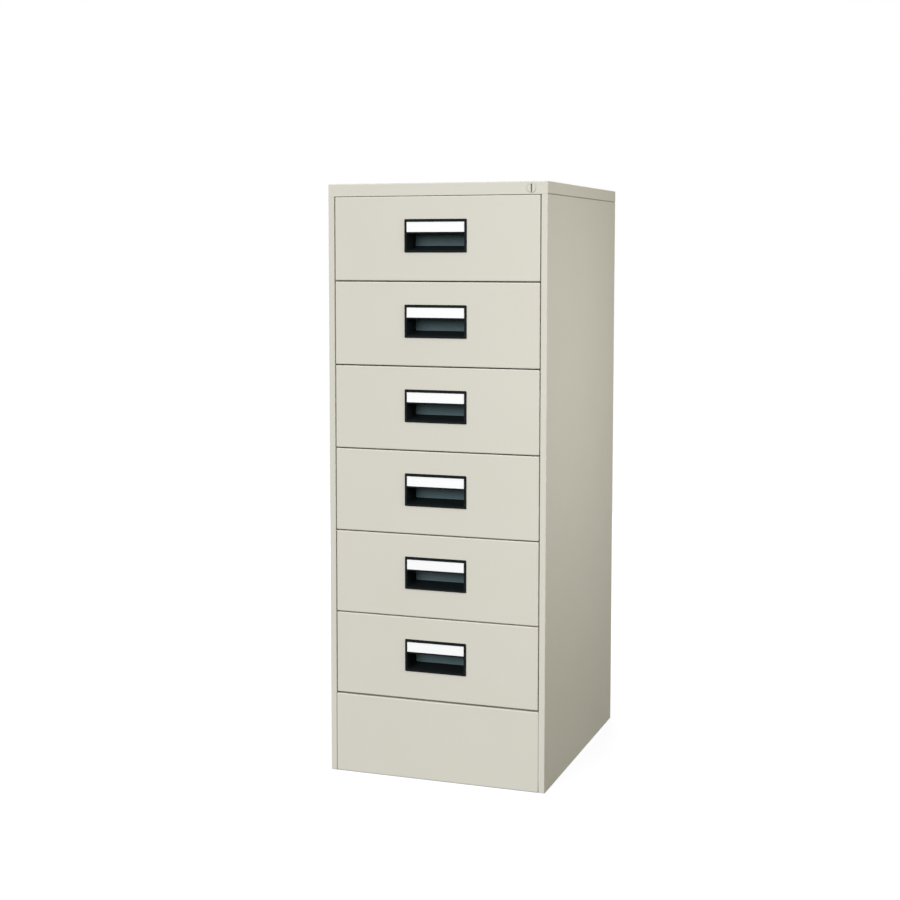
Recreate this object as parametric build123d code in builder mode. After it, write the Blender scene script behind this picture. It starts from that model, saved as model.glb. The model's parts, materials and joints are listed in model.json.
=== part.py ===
"""Six-drawer steel cabinet for B6 cards, as separate named pieces.

Frame: origin at the bottom centre, +X to the right seen from the front,
drawer fronts facing -Y, +Z up. All lengths are millimetres.
"""
import os
from math import cos, radians, sin

from build123d import *

# Overall size and layout of the front
cabinet_width = 508.0
cabinet_depth = 620.0
cabinet_height = 1335.0
drawer_count = 6
top_rail_height = 28.0
plinth_height = 180.0
stile_width = 14.5
reveal = 2.5
side_reveal = 1.9
top_reveal = 1.0
bottom_reveal = 4.0

# Sheet metal of the case
case_sheet = 1.0
fold_radius = 2.0
stile_return = 22.0
rail_return = 22.0
rear_flange = 15.0
foot_flange = 25.0
plinth_return = 24.0
base_flange = 25.0
seam_gap = 2.0
plinth_gap = 0.8
tongue_lap = 8.0
tongue_inset = 3.0
joint_gap = 0.4
weld_gap = 0.1
back_inset = 1.0
back_lift = 6.0

# Posts that carry the slides
upright_sheet = 1.5
upright_depth = 15.0
upright_crown = 24.0
upright_foot = 10.0

# Telescopic slides: channel in the cabinet, channel between, hat section on the drawer
rail_gauge = 1.2
rail_fold = 1.8
rail_height = 45.0
rail_depth = 12.0
rail_lip = 4.2
rail_clearance = 0.35
rail_setback = 2.5
hat_proud = 1.0

# Drawer front and tray
front_depth = 42.0
front_lip = 20.0
tray_sheet = 0.8
tray_drop = 16.0
tray_headroom = 43.5
tray_rear_space = 35.0
liner_overlap = 4.0
hem_height = 8.0
divider_drop = 12.0

# Pull with its label pocket and finger cup
pull_proud = 2.0
pull_width = 144.0
pull_height = 73.0
pull_rise = 6.3
pull_corner = 2.0
pull_edge = 0.8
pull_frame = 5.0
pull_body_inset = 3.0
pull_fit = 0.2
label_height = 22.4
label_frame = 6.2
pocket_depth = 1.0
label_thickness = 0.4
label_fit = 0.3
lip_height = 2.8
lip_thickness = 3.5
mouth_corner = 2.5
mouth_sill = 4.0
cup_depth = 38.0
cup_wall = 2.0
cup_corner = 3.0
cup_side_taper = 8.0
cup_floor_taper = 10.5
hook_rise = 19.0

# Card followers and the floor slots they run in
slot_width = 8.0
slot_front_margin = 28.0
slot_rear_margin = 12.0
follower_width = 180.0
follower_length = 112.0
follower_sheet = 1.2
follower_lean = 12.0
follower_corner = 12.0
follower_rear_space = 62.0
follower_gap = 0.3
foot_length = 46.0
foot_width = 60.0
clamp_inset = 6.0
clamp_width = 24.0
clamp_thickness = 2.0
stay_width = 40.0
stay_share = 0.65

# Lock in the top rail
lock_inset = 36.5
lock_drop = 15.0
barrel_radius = 11.0
barrel_length = 26.0
barrel_fit = 0.05
collar_radius = 11.8
collar_thickness = 2.0
plug_radius = 9.5
plug_length = 20.0
plug_proud = 0.5
plug_fit = 0.1
keyway_width = 3.2
keyway_height = 17.6
keyway_depth = 6.0
tail_radius = 4.0
tail_fit = 0.3
crank_radius = 7.5
crank_rest_angle = 45.0
crank_thickness = 3.0
crank_gap = 0.5
pin_radius = 2.0
pin_end = 1.0

# Lifting lock bar, its guides and the catches on the trays
bar_width = 10.0
bar_thickness = 3.0
bar_side_gap = 2.0
bar_post_gap = 2.0
bar_tail = 20.0
yoke_clearance = 0.35
yoke_end_clearance = 0.6
yoke_rim = 4.0
finger_height = 8.0
finger_length = 12.0
finger_above_rail = 3.5
catch_clearance = 2.0
catch_sheet = 2.0
catch_reach = 11.0
catch_height = 14.0
catch_base = 20.0
guide_wall = 1.2
guide_height = 16.0
guide_fit = 0.3
guide_rise_share = 0.3

# Faces that follow from the sizes above
half_width = cabinet_width / 2
side_inner = half_width - case_sheet
opening_half = half_width - stile_width
front_face = pull_proud - cabinet_depth / 2
back_face = cabinet_depth / 2
rear_flange_face = back_face - case_sheet
rail_underside = cabinet_height - top_rail_height
tongue_bottom = rail_underside - tongue_lap
tongue_top = cabinet_height - case_sheet - tongue_inset
base_top = plinth_height - case_sheet
base_back = rear_flange_face - fold_radius - joint_gap

# Drawer sizes, measured from the lower edge of the drawer front
front_width = 2 * (opening_half - side_reveal)
lowest_front = plinth_height + bottom_reveal
fronts_height = rail_underside - top_reveal - lowest_front
front_height = (fronts_height - (drawer_count - 1) * reveal) / drawer_count
drawer_pitch = front_height + reveal
tray_front = front_face + front_depth
tray_back = back_face - tray_rear_space
tray_top = front_height - tray_headroom
tray_floor = tray_drop + tray_sheet
liner_top = front_height - front_lip + liner_overlap

# Slide section, measured inward from the face of the uprights
upright_face = side_inner - upright_depth
rail_step = rail_gauge + rail_clearance
slide_thickness = rail_depth + hat_proud
mid_half_height = rail_height / 2 - rail_step
hat_flange_half = mid_half_height - rail_step
hat_half_height = mid_half_height - rail_lip - rail_clearance
rail_front = tray_front + rail_setback
rail_length = tray_back - tray_front - 2 * rail_setback
slide_level = (tray_drop + tray_top) / 2
tray_half = upright_face - slide_thickness
row_centre = tray_half / 2
upright_half = upright_crown / 2 + upright_foot
front_post_y = rail_front + upright_half
rear_post_y = rail_front + rail_length - upright_half

# Pull faces, measured from the lower edge of the drawer front
pull_level = front_height / 2 + pull_rise
pull_face = front_face - pull_proud
pull_top = pull_level + pull_height / 2
pull_bottom = pull_level - pull_height / 2
label_width = pull_width - 2 * pull_frame
label_top = pull_top - label_frame
label_bottom = label_top - label_height
mouth_top = label_bottom - lip_height
mouth_bottom = pull_bottom + mouth_sill
cup_back = pull_face + cup_depth
cup_half_width = label_width / 2 - cup_side_taper

# Lock faces
lock_x = half_width - lock_inset
lock_z = cabinet_height - lock_drop
bar_front = front_post_y + upright_half + bar_post_gap
bar_back = bar_front + bar_thickness
bar_outer = side_inner - bar_side_gap
bar_inner = bar_outer - bar_width
pin_side = crank_radius * cos(radians(crank_rest_angle))
pin_drop = crank_radius * sin(radians(crank_rest_angle))
yoke_level = lock_z - pin_drop
yoke_half = pin_radius + yoke_clearance
finger_level = slide_level + rail_height / 2 + finger_above_rail
catch_level = finger_level + finger_height + catch_clearance
catch_front = bar_back + catch_clearance
guide_drawers = (1, drawer_count // 2, drawer_count)

corner = (Align.MIN, Align.MIN, Align.MIN)


def drawer_level(number):
    """Height of the lower edge of a drawer front, counted from the top."""
    return lowest_front + (drawer_count - number) * drawer_pitch


def facing(depth):
    """Upright sketch plane at one depth: sketch x is X, sketch y is Z, normal is -Y."""
    return Plane.XZ.offset(-depth)


def block(low, high, mode=Mode.ADD):
    """Add or cut a box between two opposite corners of the part being built."""
    size = [far - near for near, far in zip(low, high)]
    with Locations(low):
        Box(*size, align=corner, mode=mode)


# Case

def left_side_panel():
    """Wall folded round to a stile in front and a flange behind."""
    outline = [
        (-opening_half, front_face + stile_return),
        (-opening_half, front_face),
        (-half_width, front_face),
        (-half_width, rear_flange_face),
        (-half_width + rear_flange, rear_flange_face),
    ]
    with BuildPart() as panel:
        with BuildSketch(Plane.XY):
            with BuildLine():
                fold = FilletPolyline(*outline, radius=fold_radius)
                offset(fold, amount=case_sheet, side=Side.RIGHT)
            make_face()
        extrude(amount=rail_underside)
        block(
            (-side_inner, front_face + plinth_return + joint_gap, 0),
            (-half_width + foot_flange, rear_flange_face - case_sheet, case_sheet),
        )
        block(
            (-side_inner, front_face + tongue_inset, tongue_bottom),
            (-side_inner + case_sheet, rear_flange_face - tongue_inset, tongue_top),
        )
    return panel.part


def top_cap():
    """Lid with the top rail in front, a seam above the side panels and a lock hole."""
    return_half = side_inner - case_sheet - joint_gap
    with BuildPart() as cap:
        block((-half_width, front_face, rail_underside), (half_width, back_face, cabinet_height))
        upper_edges = cap.faces().sort_by(Axis.Z)[-1].edges()
        fillet(upper_edges + cap.edges().filter_by(Axis.Z), radius=fold_radius)
        offset(amount=-case_sheet, openings=cap.faces().sort_by(Axis.Z)[0])
        block(
            (-half_width, front_face + fold_radius, rail_underside),
            (half_width, back_face, rail_underside + seam_gap),
            Mode.SUBTRACT,
        )
        block(
            (-return_half, front_face, rail_underside),
            (return_half, front_face + rail_return, rail_underside + case_sheet),
        )
        with BuildSketch(facing(front_face)):
            with Locations((lock_x, lock_z)):
                Circle(barrel_radius + barrel_fit)
        extrude(amount=-case_sheet, mode=Mode.SUBTRACT)
    return cap.part


def back_panel():
    """Sheet on the rear flanges, stepped at the top to reach behind the cap."""
    panel_half = half_width - back_inset
    tongue_half = half_width - rear_flange - joint_gap
    with BuildPart() as panel:
        block((-panel_half, rear_flange_face, back_lift), (panel_half, back_face, rail_underside))
        block(
            (-tongue_half, rear_flange_face - case_sheet, tongue_bottom),
            (tongue_half, rear_flange_face, tongue_top),
        )
    return panel.part


def plinth_panel():
    """Front panel under the drawers, folded back along its top and bottom."""
    outline = [
        (front_face + plinth_return, plinth_height),
        (front_face, plinth_height),
        (front_face, 0),
        (front_face + plinth_return, 0),
    ]
    with BuildPart() as plinth:
        with BuildSketch(Plane.YZ):
            with BuildLine():
                fold = FilletPolyline(*outline, radius=fold_radius)
                offset(fold, amount=case_sheet, side=Side.LEFT)
            make_face()
        extrude(amount=opening_half - plinth_gap, both=True)
    return plinth.part


def base_pan():
    """Floor of the case, notched round the stiles, with flanges turned down."""
    flange_bottom = base_top - base_flange
    notch_back = front_face + stile_return + joint_gap
    notch_half = opening_half - joint_gap
    with BuildPart() as pan:
        block(
            (-side_inner, front_face + 2 * fold_radius, base_top - case_sheet),
            (side_inner, base_back, base_top),
        )
        for near, far in ((-side_inner, -notch_half), (notch_half, side_inner)):
            block((near, front_face, flange_bottom), (far, notch_back, base_top), Mode.SUBTRACT)
        for wall in (-side_inner, side_inner - case_sheet):
            block((wall, notch_back, flange_bottom), (wall + case_sheet, base_back, base_top))
        block((-side_inner, base_back - case_sheet, flange_bottom), (side_inner, base_back, base_top))
    return pan.part


def slide_uprights():
    """Four hat-section posts on the side panels."""
    foot_face = side_inner - upright_sheet
    crown_half = upright_crown / 2
    outline = [
        (foot_face, -upright_half),
        (foot_face, -crown_half),
        (upright_face, -crown_half),
        (upright_face, crown_half),
        (foot_face, crown_half),
        (foot_face, upright_half),
    ]
    with BuildPart() as post:
        with BuildSketch(Plane.XY.offset(base_top)):
            with BuildLine():
                fold = FilletPolyline(*outline, radius=fold_radius)
                offset(fold, amount=upright_sheet, side=Side.RIGHT)
            make_face()
        extrude(amount=tongue_bottom - base_top - joint_gap)
        mirror(about=Plane.YZ)
    with BuildPart() as posts:
        with Locations((0, front_post_y, 0), (0, rear_post_y, 0)):
            add(post.part)
    return posts.part


# Slides

def rail_pair(outline):
    """A right-hand rail of one folded section, centred on Z = 0, with its mirror image."""
    with BuildPart() as pair:
        with BuildSketch(facing(rail_front)):
            with BuildLine():
                fold = FilletPolyline(*outline, radius=rail_fold)
                offset(fold, amount=rail_gauge, side=Side.RIGHT)
            make_face()
        extrude(amount=-rail_length)
        mirror(about=Plane.YZ)
    return pair.part


def channel_outline(web, mouth, half_height):
    """Outer line of a lipped channel, from its upper lip round to its lower one."""
    return [
        (mouth, half_height - rail_lip),
        (mouth, half_height),
        (web, half_height),
        (web, -half_height),
        (mouth, -half_height),
        (mouth, rail_lip - half_height),
    ]


def hat_outline():
    """Line of the hat section whose crown lies on the tray wall."""
    flange = upright_face - 2 * rail_step - rail_gauge
    crown = upright_face - slide_thickness
    return [
        (flange, -hat_flange_half),
        (flange, -hat_half_height),
        (crown, -hat_half_height),
        (crown, hat_half_height),
        (flange, hat_half_height),
        (flange, hat_flange_half),
    ]


def cabinet_rails():
    """The fixed channels of all the slides."""
    outline = channel_outline(upright_face, upright_face - rail_depth, rail_height / 2)
    pair = rail_pair(outline)
    levels = [(0, 0, drawer_level(n) + slide_level) for n in range(1, drawer_count + 1)]
    with BuildPart() as rails:
        with Locations(*levels):
            add(pair)
    return rails.part


def mid_rails():
    """The pair of channels that runs between cabinet and drawer."""
    web = upright_face - rail_step
    mouth = upright_face - rail_depth + rail_step
    return Pos(0, 0, slide_level) * rail_pair(channel_outline(web, mouth, mid_half_height))


def drawer_rails():
    """The pair of hat sections fixed to the tray."""
    return Pos(0, 0, slide_level) * rail_pair(hat_outline())


# Drawer

def drawer_front():
    """Hollow pan with a lip round its open back and a cut-out for the pull."""
    half = front_width / 2
    with BuildPart() as front:
        block((-half, front_face, 0), (half, tray_front, front_height))
        face_edges = front.faces().sort_by(Axis.Y)[0].edges()
        fillet(face_edges + front.edges().filter_by(Axis.Y), radius=fold_radius)
        offset(amount=-case_sheet, openings=front.faces().sort_by(Axis.Y)[-1])
        with BuildSketch(facing(tray_front)):
            with Locations((0, front_height / 2)):
                Rectangle(front_width - 2 * case_sheet, front_height - 2 * case_sheet)
                Rectangle(
                    front_width - 2 * front_lip, front_height - 2 * front_lip, mode=Mode.SUBTRACT
                )
        extrude(amount=case_sheet)
        cut_out_inset = pull_body_inset - pull_fit
        with BuildSketch(facing(front_face)):
            with Locations((0, pull_level)):
                Rectangle(pull_width - 2 * cut_out_inset, pull_height - 2 * cut_out_inset)
        extrude(amount=-case_sheet, mode=Mode.SUBTRACT)
    return front.part


def drawer_pull():
    """Flange, body, tapered finger cup with a hook space above it, and label pocket."""
    with BuildPart() as pull:
        with BuildSketch(facing(front_face)):
            with Locations((0, pull_level)):
                RectangleRounded(pull_width, pull_height, pull_corner)
        extrude(amount=pull_proud)
        fillet(pull.faces().sort_by(Axis.Y)[0].edges(), radius=pull_edge)
        with BuildSketch(facing(front_face)):
            with Locations((0, pull_level)):
                Rectangle(pull_width - 2 * pull_body_inset, pull_height - 2 * pull_body_inset)
        extrude(amount=-(cup_back + cup_wall - front_face))
        cup_bottom = mouth_bottom + cup_floor_taper
        with BuildSketch(facing(pull_face)):
            with Locations((0, (mouth_top + mouth_bottom) / 2)):
                RectangleRounded(label_width, mouth_top - mouth_bottom, mouth_corner)
        with BuildSketch(facing(cup_back)):
            with Locations((0, (mouth_top + cup_bottom) / 2)):
                RectangleRounded(2 * cup_half_width, mouth_top - cup_bottom, cup_corner)
        loft(mode=Mode.SUBTRACT)
        block(
            (-cup_half_width, pull_face + lip_thickness, mouth_top - cup_corner),
            (cup_half_width, cup_back, mouth_top + hook_rise),
            Mode.SUBTRACT,
        )
        block(
            (-label_width / 2, pull_face, label_bottom),
            (label_width / 2, pull_face + pocket_depth, label_top),
            Mode.SUBTRACT,
        )
    return pull.part


def drawer_label():
    """Blank card in the label pocket."""
    label_half = label_width / 2 - label_fit
    pocket_back = pull_face + pocket_depth
    with BuildPart() as label:
        block(
            (-label_half, pocket_back - label_thickness, label_bottom + label_fit),
            (label_half, pocket_back, label_top - label_fit),
        )
    return label.part


def drawer_tray():
    """Tray welded from sheets: slotted floor, hemmed walls, divider and lock catch."""
    inner_half = tray_half - tray_sheet
    hem_half = inner_half - tray_sheet
    floor_half = inner_half - weld_gap
    floor_front = tray_front + tray_sheet + weld_gap
    inner_back = tray_back - tray_sheet
    floor_back = inner_back - weld_gap
    hem_bottom = tray_top - hem_height
    with BuildPart() as tray:
        block((-floor_half, floor_front, tray_drop), (floor_half, floor_back, tray_floor))
        for row in (-row_centre, row_centre):
            block(
                (row - slot_width / 2, tray_front + slot_front_margin, tray_drop),
                (row + slot_width / 2, tray_back - slot_rear_margin, tray_floor),
                Mode.SUBTRACT,
            )
        block((-tray_half, tray_front, tray_drop), (tray_half, tray_front + tray_sheet, liner_top))
        for wall, hem in ((-tray_half, -inner_half), (inner_half, hem_half)):
            block((wall, floor_front, tray_drop), (wall + tray_sheet, tray_back, tray_top))
            block((hem, floor_front, hem_bottom), (hem + tray_sheet, floor_back, tray_top))
        block((-floor_half, inner_back, tray_drop), (floor_half, tray_back, tray_top))
        block(
            (weld_gap - hem_half, inner_back - tray_sheet, hem_bottom),
            (hem_half - weld_gap, inner_back, tray_top),
        )
        block(
            (-tray_sheet, floor_front, tray_floor + weld_gap),
            (tray_sheet, floor_back, tray_top - divider_drop),
        )
        catch_foot = tray_half + weld_gap
        catch_top = catch_level + catch_height
        block(
            (catch_foot, catch_front, catch_level),
            (tray_half + catch_reach, catch_front + catch_sheet, catch_top),
        )
        block(
            (catch_foot, catch_front, catch_level),
            (catch_foot + catch_sheet, catch_front + catch_base, catch_top),
        )
    return tray.part


def follower(row):
    """Leaning card plate with a stay, a foot on the floor and a clamp below the slot."""
    plate_y = tray_back - follower_rear_space
    foot_bottom = tray_floor + follower_gap
    foot_top = foot_bottom + follower_sheet
    lean_cos = cos(radians(follower_lean))
    lean_sin = sin(radians(follower_lean))
    plate_plane = Plane(
        origin=(row, plate_y, foot_bottom), x_dir=(1, 0, 0), z_dir=(0, -lean_cos, lean_sin)
    )
    stay_reach = follower_length * stay_share
    stay_top = (plate_y + stay_reach * lean_sin, foot_bottom + stay_reach * lean_cos)
    stay_foot = (plate_y + foot_length - follower_sheet, foot_bottom)
    with BuildPart() as plate:
        with BuildSketch(plate_plane) as plate_face:
            Rectangle(follower_width, follower_length, align=(Align.CENTER, Align.MIN))
            fillet(plate_face.vertices().group_by(Axis.Y)[-1], radius=follower_corner)
        extrude(amount=-follower_sheet)
        block(
            (row - foot_width / 2, plate_y, foot_bottom),
            (row + foot_width / 2, plate_y + foot_length, foot_top),
        )
        with BuildSketch(Plane.YZ.offset(row)):
            with BuildLine():
                Polyline(
                    stay_foot,
                    (stay_foot[0] + follower_sheet, stay_foot[1]),
                    (stay_top[0] + follower_sheet, stay_top[1]),
                    stay_top,
                    close=True,
                )
            make_face()
        extrude(amount=stay_width / 2, both=True)
        clamp_front = plate_y + clamp_inset
        clamp_back = plate_y + foot_length - clamp_inset
        clamp_top = tray_drop - follower_gap
        neck_half = slot_width / 2 - follower_gap
        block((row - neck_half, clamp_front, clamp_top), (row + neck_half, clamp_back, foot_bottom))
        block(
            (row - clamp_width / 2, clamp_front, clamp_top - clamp_thickness),
            (row + clamp_width / 2, clamp_back, clamp_top),
        )
    return plate.part


# Lock

def lock_body():
    """Barrel through the top rail with a collar behind the sheet and a bored rear wall."""
    with BuildPart() as barrel:
        with BuildSketch(facing(front_face)):
            with Locations((lock_x, lock_z)):
                Circle(barrel_radius)
        extrude(amount=-barrel_length)
        with BuildSketch(facing(front_face + case_sheet)):
            with Locations((lock_x, lock_z)):
                Circle(collar_radius)
        extrude(amount=-collar_thickness)
        with BuildSketch(facing(front_face)):
            with Locations((lock_x, lock_z)):
                Circle(plug_radius + plug_fit)
        extrude(amount=-(plug_length + plug_fit), mode=Mode.SUBTRACT)
        with BuildSketch(facing(front_face)):
            with Locations((lock_x, lock_z)):
                Circle(tail_radius + tail_fit)
        extrude(amount=-barrel_length, mode=Mode.SUBTRACT)
    return barrel.part


def lock_plug():
    """Slotted plug with a tail that carries the crank and its pin."""
    crank_back = bar_front - crank_gap
    crank_front = crank_back - crank_thickness
    plug_back = front_face + plug_length
    with BuildPart() as plug:
        with BuildSketch(facing(front_face - plug_proud)):
            with Locations((lock_x, lock_z)):
                Circle(plug_radius)
        extrude(amount=-(plug_length + plug_proud))
        with BuildSketch(facing(front_face - plug_proud)):
            with Locations((lock_x, lock_z)):
                Rectangle(keyway_width, keyway_height)
        extrude(amount=-keyway_depth, mode=Mode.SUBTRACT)
        with BuildSketch(facing(plug_back)):
            with Locations((lock_x, lock_z)):
                Circle(tail_radius)
        extrude(amount=-(crank_back - plug_back))
        with BuildSketch(facing(crank_front)):
            with Locations(Location((lock_x, lock_z, 0), -crank_rest_angle)):
                SlotCenterPoint((crank_radius / 2, 0), (crank_radius, 0), 2 * tail_radius)
        extrude(amount=-crank_thickness)
        with BuildSketch(facing(crank_back)):
            with Locations((lock_x + pin_side, yoke_level)):
                Circle(pin_radius)
        extrude(amount=-(crank_gap + bar_thickness + pin_end))
    return plug.part


def lock_bar():
    """Flat bar with a slotted head for the crank pin and one finger for each drawer, welded on."""
    yoke_near = lock_x + pin_side - pin_radius - yoke_end_clearance
    yoke_far = lock_x + crank_radius + pin_radius + yoke_end_clearance
    head_top = yoke_level + yoke_half + yoke_rim
    head_bottom = yoke_level - yoke_half - yoke_rim
    bar_bottom = drawer_level(drawer_count) + finger_level - bar_tail
    with BuildPart() as bar:
        block((bar_inner, bar_front, bar_bottom), (bar_outer, bar_back, head_top))
        block(
            (yoke_near - yoke_rim, bar_front, head_bottom),
            (bar_inner - weld_gap, bar_back, head_top),
        )
        block(
            (yoke_near, bar_front, yoke_level - yoke_half),
            (yoke_far, bar_back, yoke_level + yoke_half),
            Mode.SUBTRACT,
        )
        for number in range(1, drawer_count + 1):
            finger_bottom = drawer_level(number) + finger_level
            block(
                (bar_inner - finger_length, bar_front, finger_bottom),
                (bar_inner - weld_gap, bar_back, finger_bottom + finger_height),
            )
    return bar.part


def lock_bar_guides():
    """Clips on the right side panel that the bar slides through."""
    guide_rise = front_height * guide_rise_share
    with BuildPart() as guides:
        for number in guide_drawers:
            bottom = drawer_level(number) + guide_rise
            top = bottom + guide_height
            block(
                (
                    bar_inner - guide_fit - guide_wall,
                    bar_front - guide_fit - guide_wall,
                    bottom,
                ),
                (side_inner, bar_back + guide_fit + guide_wall, top),
            )
            block(
                (bar_inner - guide_fit, bar_front - guide_fit, bottom),
                (bar_outer + guide_fit, bar_back + guide_fit, top),
                Mode.SUBTRACT,
            )
    return guides.part


# Save every piece under its own name

def save(piece, name):
    piece.label = name
    export_step(piece, f"parts/{name}.step")


os.makedirs("parts", exist_ok=True)

left_side = left_side_panel()
case_pieces = {
    "left_side_panel": left_side,
    "right_side_panel": mirror(left_side, about=Plane.YZ),
    "back_panel": back_panel(),
    "top_cap": top_cap(),
    "plinth_panel": plinth_panel(),
    "base_pan": base_pan(),
    "slide_uprights": slide_uprights(),
    "cabinet_rails": cabinet_rails(),
    "lock_body": lock_body(),
    "lock_bar_guides": lock_bar_guides(),
    "lock_plug": lock_plug(),
    "lock_bar": lock_bar(),
}
drawer_pieces = {
    "front": drawer_front(),
    "tray": drawer_tray(),
    "pull": drawer_pull(),
    "label": drawer_label(),
    "drawer_rails": drawer_rails(),
    "mid_rails": mid_rails(),
    "follower_left": follower(-row_centre),
    "follower_right": follower(row_centre),
}

for name, piece in case_pieces.items():
    save(piece, name)
for number in range(1, drawer_count + 1):
    for name, piece in drawer_pieces.items():
        save(Pos(0, 0, drawer_level(number)) * piece, f"drawer_{number}_{name}")
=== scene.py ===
# %% [markdown]
# # A steel card cabinet
# This cabinet is folded from thin steel sheet, powder coated in a warm pale grey, with flush
# drawers and black moulded pulls. Its solids already hold every fold, gap and slide at full
# size. This lesson gives them their finishes, adds the small fasteners that hold the drawers
# together, and sets up a floor, lights and a camera.

import json
import math

import bpy
import numpy as np
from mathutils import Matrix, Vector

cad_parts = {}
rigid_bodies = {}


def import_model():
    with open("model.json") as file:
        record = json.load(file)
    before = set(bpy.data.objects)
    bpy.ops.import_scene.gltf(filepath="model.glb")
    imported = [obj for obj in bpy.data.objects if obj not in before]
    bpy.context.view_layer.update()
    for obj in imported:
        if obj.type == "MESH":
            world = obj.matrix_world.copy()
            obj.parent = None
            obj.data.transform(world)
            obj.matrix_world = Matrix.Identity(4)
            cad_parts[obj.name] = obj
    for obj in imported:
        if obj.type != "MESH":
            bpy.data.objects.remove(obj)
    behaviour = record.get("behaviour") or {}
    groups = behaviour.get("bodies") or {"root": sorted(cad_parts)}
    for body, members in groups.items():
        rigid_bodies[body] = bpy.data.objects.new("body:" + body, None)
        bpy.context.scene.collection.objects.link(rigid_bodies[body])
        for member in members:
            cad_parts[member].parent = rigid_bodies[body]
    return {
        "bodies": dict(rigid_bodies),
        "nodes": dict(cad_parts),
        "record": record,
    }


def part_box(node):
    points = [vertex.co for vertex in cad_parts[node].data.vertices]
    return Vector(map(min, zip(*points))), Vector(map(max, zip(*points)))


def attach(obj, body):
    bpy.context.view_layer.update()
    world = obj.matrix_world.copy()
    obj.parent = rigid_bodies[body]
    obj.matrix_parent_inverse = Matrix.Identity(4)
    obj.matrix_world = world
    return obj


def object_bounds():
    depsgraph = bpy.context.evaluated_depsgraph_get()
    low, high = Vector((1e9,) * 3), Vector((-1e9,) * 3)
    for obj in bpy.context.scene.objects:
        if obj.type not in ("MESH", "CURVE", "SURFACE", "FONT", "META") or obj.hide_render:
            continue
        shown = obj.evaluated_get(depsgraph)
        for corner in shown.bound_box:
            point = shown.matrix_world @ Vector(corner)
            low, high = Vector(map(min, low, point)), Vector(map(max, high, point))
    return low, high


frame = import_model()
cad_low, cad_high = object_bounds()
nodes = frame["nodes"]
drawers = sorted(name for name in frame["bodies"] if f"{name}_tray" in nodes)
print(f"{len(nodes)} nodes, {len(drawers)} drawers, {[round(v, 3) for v in cad_high - cad_low]} m")

# %% [markdown]
# ## Colours and nodes
# A colour picked from a screen is stored on the sRGB curve, while a shader counts light in
# straight proportion, so every hex value goes through one function that undoes the curve. A
# material is a small graph of nodes. Each node is made, set and linked in the same way, so one
# helper does all three, and another starts a material with the values that are the same all
# over its surface.

# %% Colours
MM = 0.001  # one millimetre, in the scene's metres


def linear(hex_colour):
    """A hex colour as linear red, green, blue and alpha: the sRGB curve, undone."""
    srgb = np.array([int(hex_colour[start:start + 2], 16) for start in (1, 3, 5)]) / 255
    rgb = np.where(srgb > 0.04045, ((srgb + 0.055) / 1.055) ** 2.4, srgb / 12.92)
    return (*rgb.tolist(), 1.0)


print("sRGB #808080 is linear", round(linear("#808080")[0], 3))


# %% Nodes
def add(tree, kind, sockets=None, **settings):
    """Add one node, set its properties, and fill or link its input sockets."""
    node = tree.nodes.new(kind)
    for name, value in settings.items():
        setattr(node, name, value)
    for key, value in (sockets or {}).items():
        if isinstance(value, bpy.types.NodeSocket):
            tree.links.new(value, node.inputs[key])
        else:
            node.inputs[key].default_value = value
    return node


def start(name, uniform):
    """A new material: its tree, its shader with uniform values set, and Object coordinates."""
    material = bpy.data.materials.new(name)
    material.use_nodes = True
    tree = material.node_tree
    shader = tree.nodes["Principled BSDF"]
    for socket, value in uniform.items():
        shader.inputs[socket].default_value = value
    place = add(tree, "ShaderNodeTexCoord").outputs["Object"]
    return material, tree, shader, place


def per(millimetres):
    """The texture scale at which one cell of a pattern is this many millimetres across."""
    return 1 / (millimetres * MM)


print("a pattern of 5 mm cells has scale", round(per(5)))

# %% [markdown]
# ## Powder coat
# The case and drawers are steel sheet with a baked polyester powder coat. Powder melts and
# levels, which leaves a satin skin with a faint orange peel a few millimetres across, and the
# sheet below is never quite flat, so long soft waves show in its reflections. A flat colour
# would look like card, so the tone drifts a little, and two bumps of different size carry the
# peel and the waves. The peel is drawn a little coarser than life so that it shows. A fold in
# sheet is never a knife edge: it bends round a small radius, which catches a thin line of light.
# Rounding every fold of the solids would multiply their faces, so a Bevel node turns only the
# shading there.


# %% Powder coat
fold_radius = 1.5 * MM  # outside of a fold in sheet about 1 mm thick
cloud_width = 140  # the width of each pattern is in millimetres
haze_width = 35
wave_width = 170
wave_depth = 0.5 * MM
peel_width = 2.6
peel_depth = 0.03 * MM
noise_span = {"From Min": 0.3, "From Max": 0.7}  # nearly all values of a noise lie in between
satin = {"To Min": 0.52, "To Max": 0.6}  # roughness, from the glossiest spot to the dullest


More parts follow.
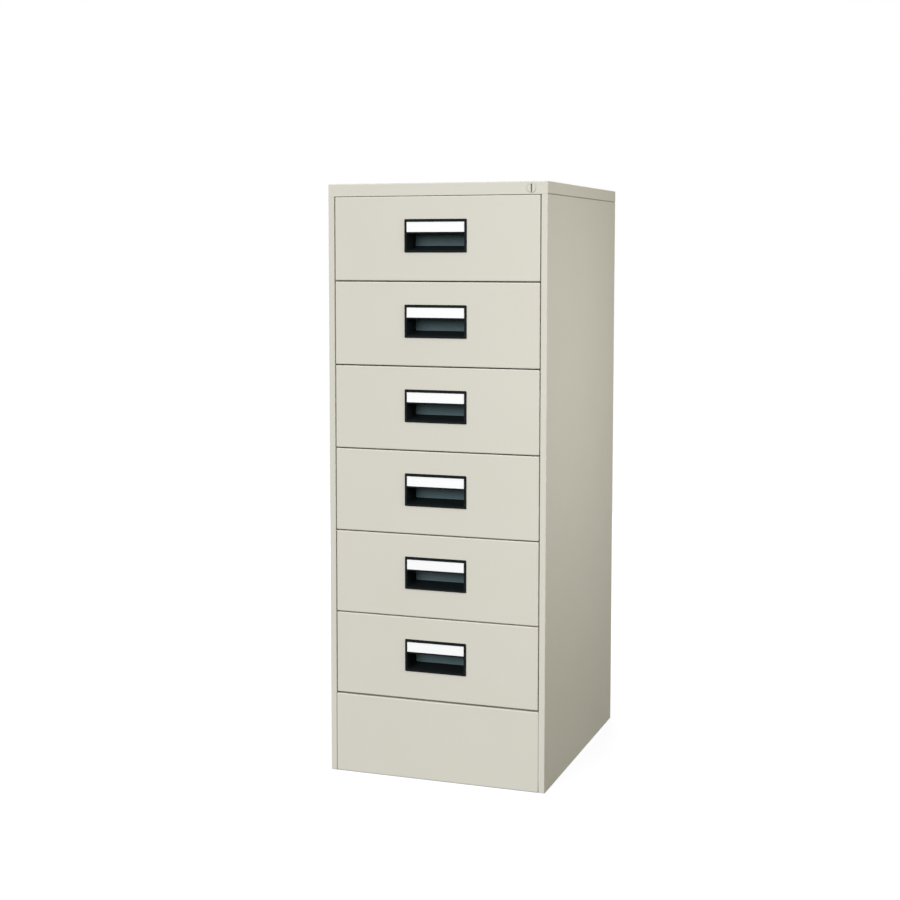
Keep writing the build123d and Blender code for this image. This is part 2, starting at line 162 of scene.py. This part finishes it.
def powder_coat(name, colour, drift):
    """Satin paint: a tone that drifts, and orange peel over long waves over rounded folds."""
    material, tree, shader, place = start(name, {"IOR": 1.5, "Specular IOR Level": 0.25})
    cloud = add(tree, "ShaderNodeTexNoise", {"Vector": place, "Scale": per(cloud_width), "Detail": 4.0})
    tone = add(
        tree,
        "ShaderNodeMix",
        {0: cloud.outputs["Fac"], 6: linear(colour), 7: linear(drift)},
        data_type="RGBA",
    )
    haze = add(tree, "ShaderNodeTexNoise", {"Vector": place, "Scale": per(haze_width), "Detail": 5.0})
    gloss = add(
        tree,
        "ShaderNodeMapRange",
        {"Value": haze.outputs["Fac"], **noise_span, **satin},
    )
    wave = add(tree, "ShaderNodeTexNoise", {"Vector": place, "Scale": per(wave_width), "Detail": 1.0})
    fold = add(tree, "ShaderNodeBevel", {"Radius": fold_radius}, samples=6)
    sheet = add(
        tree,
        "ShaderNodeBump",
        {"Height": wave.outputs["Fac"], "Distance": wave_depth, "Normal": fold.outputs["Normal"]},
    )
    peel = add(tree, "ShaderNodeTexNoise", {"Vector": place, "Scale": per(peel_width), "Detail": 2.0})
    skin = add(
        tree,
        "ShaderNodeBump",
        {"Height": peel.outputs["Fac"], "Distance": peel_depth, "Normal": sheet.outputs["Normal"]},
    )
    tree.links.new(tone.outputs[2], shader.inputs["Base Color"])
    tree.links.new(gloss.outputs["Result"], shader.inputs["Roughness"])
    tree.links.new(skin.outputs["Normal"], shader.inputs["Normal"])
    return material


warm_grey = ("#D2CFC3", "#D6D3C8")
drawer_paint = powder_coat("powder_coat_drawer", *warm_grey)
tray_paint = powder_coat("powder_coat_tray", "#C9C5B8", "#CECABE")
print("powder coats:", drawer_paint.name, tray_paint.name)

# %% [markdown]
# ## Spot welds on the case
# The back sheet is spot welded to the flanges of the sides, and each weld leaves a shallow
# round dimple under the paint. Modelling them would mean cutting the sheet, and they are only a
# fraction of a millimetre deep, so the case's coat gets them as one more bump: the distance to
# the nearest point of a row, which counts only on the outer face of the back.

# %% Spot welds on the case
weld_inset = 8 * MM
weld_spacing = 90 * MM
weld_radius = 3.5 * MM
weld_depth = 0.4 * MM
face_reach = 0.3 * MM  # how near a face a point has to be to count as lying on it


def spot_welds(material, row_x, outer_y):
    """Dimples in two upright rows at plus and minus row_x on the face at outer_y."""
    tree = material.node_tree
    sheet = next(node for node in tree.nodes if node.type == "BUMP")
    fold = sheet.inputs["Normal"].links[0].from_socket
    place = next(node for node in tree.nodes if node.type == "TEX_COORD").outputs["Object"]
    axes = add(tree, "ShaderNodeSeparateXYZ", {"Vector": place}).outputs
    across = add(tree, "ShaderNodeMath", {0: axes["X"]}, operation="ABSOLUTE").outputs["Value"]
    beside = add(tree, "ShaderNodeMath", {0: across, 1: row_x}, operation="SUBTRACT").outputs["Value"]
    along = add(tree, "ShaderNodeMath", {0: axes["Z"], 1: weld_spacing / 2}, operation="PINGPONG")
    offset = add(tree, "ShaderNodeCombineXYZ", {"X": beside, "Z": along.outputs["Value"]})
    gap = add(tree, "ShaderNodeVectorMath", {0: offset.outputs["Vector"]}, operation="LENGTH")
    outer = add(tree, "ShaderNodeMath", {0: axes["Y"], 1: outer_y}, operation="GREATER_THAN")
    dimple = add(
        tree,
        "ShaderNodeMapRange",
        {
            "Value": gap.outputs["Value"],
            "From Min": weld_radius / 2,
            "From Max": weld_radius,
            "To Min": outer.outputs["Value"],
            "To Max": 0.0,
        },
        interpolation_type="SMOOTHSTEP",
    )
    pressed = add(
        tree,
        "ShaderNodeBump",
        {"Height": dimple.outputs["Result"], "Distance": weld_depth, "Normal": fold},
        invert=True,
    )
    tree.links.new(pressed.outputs["Normal"], sheet.inputs["Normal"])


case_paint = powder_coat("powder_coat_case", *warm_grey)
weld_row = cad_high.x - weld_inset
spot_welds(case_paint, weld_row, cad_high.y - face_reach)
print("weld rows at", round(weld_row / MM, 1), "mm each side of the middle")

# %% [markdown]
# ## Painted shade in the seam
# The cap stands on the side panels with a narrow seam between. The floor of the seam is a strip
# of the panel one sheet behind its face, and the coat is painted darker there: painted shade at
# the bottom of the seam. It is only a strip of the same solid, so the coat darkens where a point
# is near the strip in all three directions.


# %% Painted shade in the seam
def seam_painted_shade(material, strip, shade_tone):
    """Painted shade: a darker tone inside a box, given as a middle and a reach along |X|, Y and Z."""
    tree = material.node_tree
    shader = tree.nodes["Principled BSDF"]
    coat = shader.inputs["Base Color"].links[0].from_socket
    place = next(node for node in tree.nodes if node.type == "TEX_COORD").outputs["Object"]
    both_sides = add(tree, "ShaderNodeVectorMath", {0: place}, operation="ABSOLUTE").outputs["Vector"]
    across = add(tree, "ShaderNodeSeparateXYZ", {"Vector": both_sides}).outputs["X"]
    axes = add(tree, "ShaderNodeSeparateXYZ", {"Vector": place}).outputs
    within = 1.0
    for value, (middle, reach) in zip((across, axes["Y"], axes["Z"]), strip):
        near = add(tree, "ShaderNodeMath", {0: value, 1: middle, 2: reach}, operation="COMPARE")
        within = add(
            tree, "ShaderNodeMath", {0: within, 1: near.outputs["Value"]}, operation="MULTIPLY"
        ).outputs["Value"]
    # painted shade: the coat turns darker inside the seam's strip
    tone = add(tree, "ShaderNodeMix", {0: within, 6: coat, 7: linear(shade_tone)}, data_type="RGBA")
    tree.links.new(tone.outputs[2], shader.inputs["Base Color"])


case_sheet = 1 * MM
seam_middle = 1 * MM  # above the cap's lower edge
seam_half = 0.95 * MM
seam_end = 3 * MM
cap_low, cap_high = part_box("top_cap")
seam_strip = (
    (cad_high.x - case_sheet, face_reach),
    ((cap_low.y + cap_high.y) / 2, (cap_high.y - cap_low.y) / 2 - seam_end),
    (cap_low.z + seam_middle, seam_half),
)
# the darker tone #8E8A7C is painted shade at the bottom of the seam
seam_painted_shade(case_paint, seam_strip, "#8E8A7C")
print("seam at", round(seam_strip[2][0] / MM, 1), "mm")

# %% [markdown]
# ## Zinc-plated strip
# The slides and lock bar are rolled steel strip with a bright coat of zinc. Rolling leaves fine
# streaks along the strip, and zinc sets in soft patches a few millimetres across. The streaks
# are noise squeezed across the strip and stretched along it, and the patches are Voronoi cells
# that only shift the tone a little.

# %% Zinc-plated strip
streak_width = 1.2
streak_length = 90
streak_depth = 0.02 * MM
patch_width = 7
plated = {"To Min": 0.26, "To Max": 0.46}  # roughness


def zinc_plate(name):
    """Plated steel: roughness in streaks along Y, tone in patches."""
    material, tree, shader, place = start(name, {"Metallic": 1.0})
    stretch = (per(streak_width), per(streak_length), per(streak_width))
    along = add(tree, "ShaderNodeMapping", {"Vector": place, "Scale": stretch})
    streak = add(
        tree, "ShaderNodeTexNoise", {"Vector": along.outputs["Vector"], "Scale": 1.0, "Detail": 3.0}
    )
    patch = add(tree, "ShaderNodeTexVoronoi", {"Vector": place, "Scale": per(patch_width)})
    tone = add(
        tree,
        "ShaderNodeMix",
        {0: patch.outputs["Color"], 6: linear("#A9ABAC"), 7: linear("#C3C5C4")},
        data_type="RGBA",
    )
    gloss = add(
        tree,
        "ShaderNodeMapRange",
        {"Value": streak.outputs["Fac"], **noise_span, **plated},
    )
    groove = add(tree, "ShaderNodeBump", {"Height": streak.outputs["Fac"], "Distance": streak_depth})
    tree.links.new(tone.outputs[2], shader.inputs["Base Color"])
    tree.links.new(gloss.outputs["Result"], shader.inputs["Roughness"])
    tree.links.new(groove.outputs["Normal"], shader.inputs["Normal"])
    return material


zinc = zinc_plate("zinc_plated_strip")
print("plating:", zinc.name)

# %% [markdown]
# ## Moulded pull
# The pulls are black ABS, moulded with a fine spark grain that keeps them from shining. The
# back of the finger cup is a slate-coloured face. The two colours meet at a sharp line in
# depth, so the material reads Object coordinates and switches colour just before the cup's
# back face, which every pull has at the same depth.

# %% Moulded pull
cup_wall = 2 * MM
rub_width = 16
spark_width = 0.9
spark_depth = 0.04 * MM
matt = {"To Min": 0.5, "To Max": 0.64}  # roughness
cup_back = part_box(f"{drawers[0]}_pull")[1].y - cup_wall


def moulded_abs(name, black_tones, slate_tones):
    """Black ABS with spark grain, slate from the cup's back face on."""
    material, tree, shader, place = start(name, {"IOR": 1.46, "Specular IOR Level": 0.08})
    depth = add(tree, "ShaderNodeSeparateXYZ", {"Vector": place}).outputs["Y"]
    behind = add(tree, "ShaderNodeMath", {0: depth, 1: cup_back - face_reach}, operation="GREATER_THAN")
    rub = add(tree, "ShaderNodeTexNoise", {"Vector": place, "Scale": per(rub_width), "Detail": 4.0})
    black, slate = [
        add(
            tree,
            "ShaderNodeMix",
            {0: rub.outputs["Fac"], 6: linear(dark), 7: linear(light)},
            data_type="RGBA",
        )
        for dark, light in (black_tones, slate_tones)
    ]
    tone = add(
        tree,
        "ShaderNodeMix",
        {0: behind.outputs["Value"], 6: black.outputs[2], 7: slate.outputs[2]},
        data_type="RGBA",
    )
    gloss = add(
        tree,
        "ShaderNodeMapRange",
        {"Value": rub.outputs["Fac"], **noise_span, **matt},
    )
    grain = add(tree, "ShaderNodeTexNoise", {"Vector": place, "Scale": per(spark_width), "Detail": 2.0})
    spark = add(tree, "ShaderNodeBump", {"Height": grain.outputs["Fac"], "Distance": spark_depth})
    tree.links.new(tone.outputs[2], shader.inputs["Base Color"])
    tree.links.new(gloss.outputs["Result"], shader.inputs["Roughness"])
    tree.links.new(spark.outputs["Normal"], shader.inputs["Normal"])
    return material


pull_plastic = moulded_abs("moulded_abs", ("#0C1011", "#131819"), ("#506165", "#5C6F73"))
print("cup back at", round(cup_back / MM, 1), "mm")

# %% [markdown]
# ## Label card
# The blank label is uncoated white card. Pulp dries into a faint cloud of fibres, so its tone
# and surface both follow a stretched noise about a millimetre wide.

# %% Label card
fibre_length = 4
fibre_width = 0.9
fibre_depth = 0.03 * MM


def label_card(name):
    """Uncoated card: cloudy white tone and a soft fibre bump."""
    material, tree, shader, place = start(name, {"IOR": 1.45, "Roughness": 0.85})
    lie = (per(fibre_length), per(fibre_width), per(fibre_width))
    along = add(tree, "ShaderNodeMapping", {"Vector": place, "Scale": lie})
    fibre = add(
        tree, "ShaderNodeTexNoise", {"Vector": along.outputs["Vector"], "Scale": 1.0, "Detail": 5.0}
    )
    tone = add(
        tree,
        "ShaderNodeMix",
        {0: fibre.outputs["Fac"], 6: linear("#F8F9FA"), 7: linear("#FEFEFE")},
        data_type="RGBA",
    )
    tooth = add(tree, "ShaderNodeBump", {"Height": fibre.outputs["Fac"], "Distance": fibre_depth})
    tree.links.new(tone.outputs[2], shader.inputs["Base Color"])
    tree.links.new(tooth.outputs["Normal"], shader.inputs["Normal"])
    return material


label_paper = label_card("uncoated_card")
print("card:", label_paper.name)

# %% [markdown]
# ## Finishes on the solids
# The record says which finish each solid takes, by the name of a material slot. Looking the
# finish up there keeps the picture and the record in step, and nothing has to be listed twice.

# %% Finishes on the solids
finish_of_slot = {
    "case_paint": case_paint,
    "lock_paint": case_paint,
    "drawer_paint": drawer_paint,
    "tray_paint": tray_paint,
    "inner_paint": tray_paint,
    "zinc": zinc,
    "pull_plastic": pull_plastic,
    "label_paper": label_paper,
}
slot_of_node = {row["node"]: row["material_slot"] for row in frame["record"]["subparts"]}
for name, solid in nodes.items():
    solid.data.materials.clear()
    solid.data.materials.append(finish_of_slot[slot_of_node[name]])
print(len(slot_of_node), "solids finished in", len(finish_of_slot), "slots")

# %% [markdown]
# ## Turned fasteners
# Rivets, screws and nuts are all headed or turned on a lathe: one profile of radius and height,
# carried round an axis. A plain cylinder would give none of their domes, recesses or knurls, so
# each is a grid of points worked out ring by ring, and one rule for the faces closes every such
# grid. One mesh can hold many copies of a grid, which keeps the number of objects small.

# %% Grids of points
crease = math.radians(40)  # corners sharper than this stay crisp


def turned(radius, height, angle):
    """Rings round Z: the radius times the cosine and sine of the angle, at the height."""
    axes = np.broadcast_arrays(radius * np.cos(angle), radius * np.sin(angle), height)
    return np.stack(axes, axis=-1)


def full_circle(steps):
    """Equal angles once round, without the last one, which is the first again."""
    return np.linspace(0, 2 * np.pi, steps, endpoint=False)


def placed(grid, spots, axis):
    """A copy of a grid at each spot, with its Z turned to lie along an axis of the frame."""
    side = np.roll(axis, 1)
    turn = np.stack((side, np.cross(axis, side), axis))
    return grid @ turn + spots[:, None, None, :]


def piece(name, grids, body, slot):
    """One mesh from several grids: quads between rings, a cap on the first and last ring of each."""
    copies, rings, around, _ = grids.shape
    index = np.arange(rings * around).reshape(rings, around)
    ahead = np.roll(index, -1, axis=1)
    quads = np.stack((index[:-1], index[1:], ahead[1:], ahead[:-1]), axis=-1).reshape(-1, 4)
    caps = np.stack((index[0], index[-1, ::-1]))
    first = np.arange(copies)[:, None, None] * index.size
    faces = (quads + first).reshape(-1, 4).tolist() + (caps + first).reshape(-1, around).tolist()
    mesh = bpy.data.meshes.new(name)
    mesh.from_pydata(grids.reshape(-1, 3).tolist(), [], faces)
    mesh.shade_smooth()
    mesh.set_sharp_from_angle(angle=crease)
    mesh.materials.append(finish_of_slot[slot])
    made = bpy.data.objects.new(name, mesh)
    bpy.context.scene.collection.objects.link(made)
    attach(made, body)
    return made


print("a ring of 4:", turned(1.0, 0.0, full_circle(4)).round(1).tolist())

# %% [markdown]
# ## Rivets
# Each drawer rail is riveted through the side wall of its tray, so a shallow dome shows on the
# inside of the tray and another in the channel of the rail. A dome is a quarter of an ellipse
# turned round: the radius follows the sine of one angle and the height follows its cosine. There
# are many of them, so each has only a few faces.

# %% Rivets
tray_sheet = 0.8 * MM
rail_gauge = 1.2 * MM
seat = 0.1 * MM  # how far a head is sunk into what it sits on
rivet_radius = 3.2 * MM
rivet_height = 1.3 * MM
rivet_count = 5
rivet_sides = 10
rivet_end = 32 * MM
slope = np.radians((30, 60, 90))[:, None]
dome_radius = rivet_radius * np.sin(slope)
dome = turned(dome_radius, rivet_height * np.cos(slope) - seat, full_circle(rivet_sides))


def rivets(drawer):
    """Heads along both rails of a drawer, on the tray's inner face and in the rail's channel."""
    rail_low, rail_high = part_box(f"{drawer}_drawer_rails")
    wall = -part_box(f"{drawer}_tray")[0].x
    spots = np.zeros((rivet_count, 3))
    spots[:, 1] = np.linspace(rail_low.y + rivet_end, rail_high.y - rivet_end, rivet_count)
    spots[:, 2] = (rail_low.z + rail_high.z) / 2
    faces = [(side * (wall - tray_sheet), -side) for side in (-1, 1)]
    faces += [(side * (wall + rail_gauge), side) for side in (-1, 1)]
    heads = [placed(dome, spots + (x, 0, 0), np.array((way, 0, 0))) for x, way in faces]
    return piece(f"{drawer}_rivets", np.concatenate(heads), drawer, "zinc")


for drawer in drawers:
    rivets(drawer)
print(len(drawers) * rivet_count * 4, "rivet heads of", len(dome) * dome.shape[1], "points")

# %% [markdown]
# ## Screws behind the drawer front
# The drawer front is screwed to the tray from inside, with small pan-head screws that have a
# cross recess. The head is a height over a disc: a shallow dome, less a cross whose depth ramps
# from zero at the edge of its arms to full along their middle lines.

# %% Screws behind the drawer front
head_radius = 2.6 * MM
head_height = 1.9 * MM
head_fall = 0.6 * MM
arm_half = 0.45 * MM
arm_length = 1.55 * MM
arm_ramp = 0.25 * MM
recess_depth = 1.1 * MM
inner_share = 0.08  # of the radius, where the rings begin
screw_inset = 10 * MM
screw_heights = np.array((24, 74, 120)) * MM


def pan_head(ring_count, around):
    """Height of a dome falling with the radius squared, less the cross, then a wall to the seat."""
    angle = full_circle(around)
    radius = np.linspace(inner_share, 1, ring_count)[:, None] * head_radius
    to_arm = radius * np.minimum(abs(np.cos(angle)), abs(np.sin(angle)))
    across = np.clip((arm_half - to_arm) / arm_ramp, 0, 1)
    along = np.clip((arm_length - radius) / arm_ramp, 0, 1)
    height = head_height - head_fall * (radius / head_radius) ** 2 - recess_depth * across * along
    top = turned(radius, height, angle)
    return np.concatenate((top, turned(radius[-1:], -seat, angle)))


head = pan_head(ring_count=14, around=48)


def screws(drawer):
    """Three heads up each side of the tray's front wall, facing into the tray."""
    tray_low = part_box(f"{drawer}_tray")[0]
    beside = -tray_low.x - tray_sheet - screw_inset
    across, rise = [axis.ravel() for axis in np.meshgrid((-beside, beside), screw_heights)]
    seated = np.full(rise.size, tray_low.y + tray_sheet)
    spots = np.column_stack((across, seated, tray_low.z + rise))
    return piece(f"{drawer}_screws", placed(head, spots, np.array((0, 1, 0))), drawer, "zinc")


for drawer in drawers:
    screws(drawer)
print(2 * screw_heights.size, "screws in each drawer")

# %% [markdown]
# ## Rolled edge of the tray
# Hands reach into the tray, so the edge of its walls is rolled over into a bead. It is a circle
# carried along the top of three walls. At a corner, the circle lies in the plane that halves the
# angle, stretched to keep the bead's width, as a mitred moulding does.

# %% Rolled edge of the tray
bead_radius = 1.3 * MM
bead_drop = 0.4 * MM
bead_sides = 12
headroom = 43.5 * MM  # from the top of a tray's walls up to the top of its drawer front
up = np.array((0, 0, 1))


def mitred_bar(path, radius, angle):
    """At each point of a flat path: the mitre times the cosine, plus Z times the sine."""
    run = np.diff(path, axis=0)
    sideways = np.cross(run / np.linalg.norm(run, axis=1, keepdims=True), up)
    before = np.vstack((sideways[:1], sideways))
    after = np.vstack((sideways, sideways[-1:]))
    mitre = (before + after) / (1 + (before * after).sum(axis=1, keepdims=True))
    circle = np.cos(angle)[:, None] * mitre[:, None] + np.sin(angle)[:, None] * up
    return path[:, None] + radius * circle


def tray_bead(drawer):
    """The bead along one side wall, the back and the other side wall of a tray."""
    tray_low, tray_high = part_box(f"{drawer}_tray")
    side = -tray_low.x - tray_sheet
    front = tray_low.y + tray_sheet
    back = tray_high.y - tray_sheet
    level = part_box(f"{drawer}_front")[1].z - headroom - bead_drop
    corners = ((-side, front), (-side, back), (side, back), (side, front))
    path = np.array([(x, y, level) for x, y in corners])
    bar = mitred_bar(path, bead_radius, full_circle(bead_sides))
    return piece(f"{drawer}_tray_bead", bar[None], drawer, "tray_paint")


for drawer in drawers:
    tray_bead(drawer)
print("bead", round(2 * bead_radius / MM, 1), "mm thick on", len(drawers), "trays")

# %% [markdown]
# ## Thumb nuts on the card followers
# Each follower is clamped to the tray floor by a thumb nut, knurled so that it turns by hand. The
# end of its stud, the nut and its collar are one profile, and the knurl is a cosine of the angle
# added to the radius of two of the rings.

# %% Thumb nuts on the card followers
nut_radius = np.array((0.7, 1.6, 2.0, 2.0, 7.8, 9.0, 9.0, 7.6, 6.0, 6.0))[:, None] * MM
nut_height = np.array((9.6, 9.3, 8.8, 7.6, 7.6, 6.8, 2.4, 1.6, 1.6, 0.0))[:, None] * MM - seat
knurl_depth = 0.35 * MM
knurl_count = 18
steps_per_ridge = 6
foot_rise = 4.6 * MM  # from the lowest face of a follower, its clamp, up to the top of its foot
nut_reach = 22 * MM
angle = full_circle(steps_per_ridge * knurl_count)
knurl = knurl_depth * (nut_radius == nut_radius.max()) * np.cos(knurl_count * angle)
nut = turned(nut_radius + knurl, nut_height, angle)


def thumb_nut(follower):
    """One nut on the foot of a follower, behind its plate."""
    low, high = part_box(follower)
    spot = np.array([((low.x + high.x) / 2, low.y + nut_reach, low.z + foot_rise)])
    return piece(f"{follower}_nut", placed(nut, spot, up), follower, "zinc")


followers = [name for name in frame["bodies"] if "_follower_" in name]
for follower in followers:
    thumb_nut(follower)
print(len(followers), "thumb nuts of", knurl_count, "ridges")

# %% [markdown]
# ## White surroundings
# A studio sweep hides the line between floor and wall. It could be a curved sheet under strong
# lamps, but those would burn out a pale cabinet as well. So the world is plain white only to the
# camera and in reflections. To every other ray it is a weak light, a little warm, as if from a
# cream room, which keeps the shaded side of the cabinet from turning blue.

# %% White surroundings
ambient = 0.32
world = bpy.data.worlds.new("studio")
bpy.context.scene.world = world
world.use_nodes = True
sky = world.node_tree
sky.nodes.clear()


def seen_directly(tree):
    """A socket that is 1 for rays from the camera and for those a mirror or glass passes on."""
    path = add(tree, "ShaderNodeLightPath").outputs
    mirrored = add(
        tree,
        "ShaderNodeMath",
        {0: path["Is Camera Ray"], 1: path["Is Glossy Ray"]},
        operation="MAXIMUM",
    )
    passed = add(
        tree,
        "ShaderNodeMath",
        {0: mirrored.outputs["Value"], 1: path["Is Transmission Ray"]},
        operation="MAXIMUM",
    )
    return passed.outputs["Value"]


seen = seen_directly(sky)
strength = add(sky, "ShaderNodeMapRange", {"Value": seen, "To Min": ambient, "To Max": 1.0})
tint = add(
    sky,
    "ShaderNodeMix",
    {0: seen, 6: linear("#FFFDD7"), 7: linear("#FFFFFF")},
    data_type="RGBA",
)
glow = add(
    sky,
    "ShaderNodeBackground",
    {"Color": tint.outputs[2], "Strength": strength.outputs["Result"]},
)
add(sky, "ShaderNodeOutputWorld", {"Surface": glow.outputs["Background"]})
print("ambient light", ambient)

# %% [markdown]
# ## Floor
# The floor keeps the soft shadow that shows where the cabinet stands. Its own colour is dim, and a
# glow that only the camera and reflections see lifts it to white, so it throws little light back
# up. Beneath the cabinet that glow would shine through the narrow seams, so it is lower there.

# %% Floor
floor_half = 60.0
floor_lift = 0.85
lift_beneath = 0.4
floor_mesh = bpy.data.meshes.new("studio_floor")
floor_corners = np.array([(-1, -1, 0), (1, -1, 0), (1, 1, 0), (-1, 1, 0)]) * floor_half
floor_mesh.from_pydata(floor_corners.tolist(), [], [(0, 1, 2, 3)])
floor = bpy.data.objects.new("studio_floor", floor_mesh)
bpy.context.scene.collection.objects.link(floor)
pale_floor, tree, shader, place = start("pale_floor", {"Roughness": 0.9, "Specular IOR Level": 0.0})
shader.inputs["Emission Color"].default_value = linear("#FFFFFF")
seen = seen_directly(tree)
tone = add(
    tree,
    "ShaderNodeMix",
    {0: seen, 6: linear("#4A463A"), 7: linear("#898997")},
    data_type="RGBA",
)
axes = add(tree, "ShaderNodeSeparateXYZ", {"Vector": place}).outputs
beneath = [
    add(
        tree, "ShaderNodeMath", {0: axes[axis], 1: 0.0, 2: reach - case_sheet}, operation="COMPARE"
    ).outputs["Value"]
    for axis, reach in (("X", cad_high.x), ("Y", cad_high.y))
]
hidden = add(tree, "ShaderNodeMath", {0: beneath[0], 1: beneath[1]}, operation="MULTIPLY")
level = add(
    tree,
    "ShaderNodeMapRange",
    {"Value": hidden.outputs["Value"], "To Min": floor_lift, "To Max": lift_beneath},
)
lift = add(tree, "ShaderNodeMath", {0: seen, 1: level.outputs["Result"]}, operation="MULTIPLY")
tree.links.new(tone.outputs[2], shader.inputs["Base Color"])
tree.links.new(lift.outputs["Value"], shader.inputs["Emission Strength"])
floor_mesh.materials.append(pale_floor)
print("floor", 2 * floor_half, "m wide")

# %% [markdown]
# ## Lamps
# A sun as wide as a large soft box lights the drawer fronts evenly from the upper left. A small
# lamp on the right, with a narrow beam, lifts the side panel, more at its top than at its foot.
# A third lights the back, and one overhead reaches into the trays when drawers are open.


# %% Lamps
def lamp(name, kind, place, target, power, **settings):
    """A lamp of one kind at a place, turned to face a target."""
    data = bpy.data.lights.new(name, kind)
    data.energy = power
    for key, value in settings.items():
        setattr(data, key, value)
    made = bpy.data.objects.new(name, data)
    bpy.context.scene.collection.objects.link(made)
    made.location = place
    aim = np.subtract(target, place)
    level = math.hypot(aim[0], aim[1])
    made.rotation_euler = (math.atan2(level, -aim[2]), 0, math.atan2(-aim[0], aim[1]))
    return made


middle = (0, 0, cad_high.z / 2)
cool = (0.923, 0.934, 1)
soft = math.radians(45)
beam = math.radians(80)
lamps = [
    lamp("key", "SUN", (-2.0, -4.0, 2.7), middle, power=2.92, angle=soft, color=cool),
    lamp("fill", "AREA", (2.2, -0.75, 1.4), (cad_high.x, 0, 0.85), power=5.1, size=0.6, spread=beam),
    lamp("back", "AREA", (-0.8, 3.4, 0.9), (0, cad_high.y, 0.7), power=60, size=0.8, color=cool),
    lamp("overhead", "AREA", (0, -0.75, 3.4), (0, -0.55, 0), power=13, size=1.2),
]
print("lamps:", [made.name for made in lamps])

# %% [markdown]
# ## Camera
# The camera stands to the right of the front, about as high as the upper drawers, and looks down
# a little. Tilting a camera makes upright edges lean, so part of the way down is made by shifting
# the lens instead, as is done for photographs of buildings.

# %% Camera
tilt_down = math.radians(4.97)
turn_left = math.radians(19.594)
lens = bpy.data.cameras.new("camera")
lens.lens = 64.15
lens.sensor_width = 36.0
lens.shift_x = 0.013
lens.shift_y = -0.0626
camera = bpy.data.objects.new("camera", lens)
bpy.context.scene.collection.objects.link(camera)
camera.location = (1.1849, -3.6179, 1.1795)
camera.rotation_euler = (math.radians(90) - tilt_down, 0, turn_left)
bpy.context.scene.camera = camera
bpy.context.scene.view_settings.view_transform = "Standard"
print("camera", round((camera.location - cad_low).length, 2), "m away")
